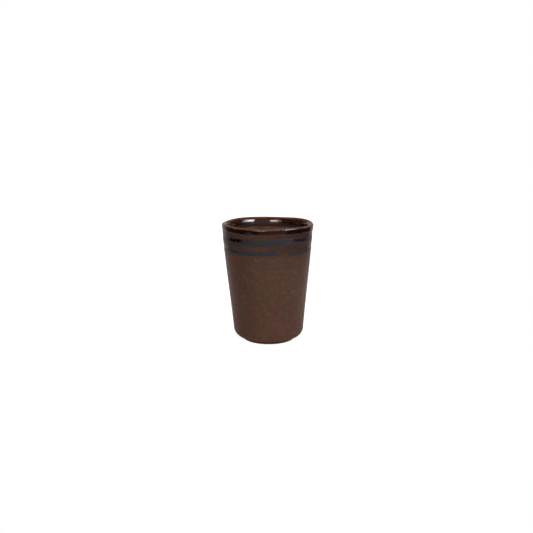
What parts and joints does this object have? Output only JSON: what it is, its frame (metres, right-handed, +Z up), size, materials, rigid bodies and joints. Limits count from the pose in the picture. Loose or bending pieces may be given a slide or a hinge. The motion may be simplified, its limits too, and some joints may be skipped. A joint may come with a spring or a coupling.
{
  "type": "espresso cup",
  "caption": "Handleless tapered stoneware espresso cup with a satin brown glaze, a dark gloss lip and brushed slate bands below it.",
  "frame": {"origin": "centre of the foot ring, on the plane that the cup stands on", "axes": "+Z up along the cup's axis, -Y towards the side that the picture shows"},
  "size_m": [0.057, 0.057, 0.0746],
  "materials": {
    "stoneware": "bare red-brown stoneware, matt and slightly gritty",
    "satin_glaze": "satin brown glaze, mottled and finely pitted",
    "lip_gloss": "dark gloss glaze that breaks to amber on the lip",
    "liner_gloss": "dark brown gloss liner glaze",
    "slate_slip": "slate slip brushed on under a thin gloss"
  },
  "bodies": {
    "root": {"clay_body": "stoneware", "outer_glaze": "satin_glaze", "lip_glaze": "lip_gloss", "liner_glaze": "liner_gloss", "upper_slip_band": "slate_slip", "lower_slip_band": "slate_slip"}
  },
  "joints": []
}
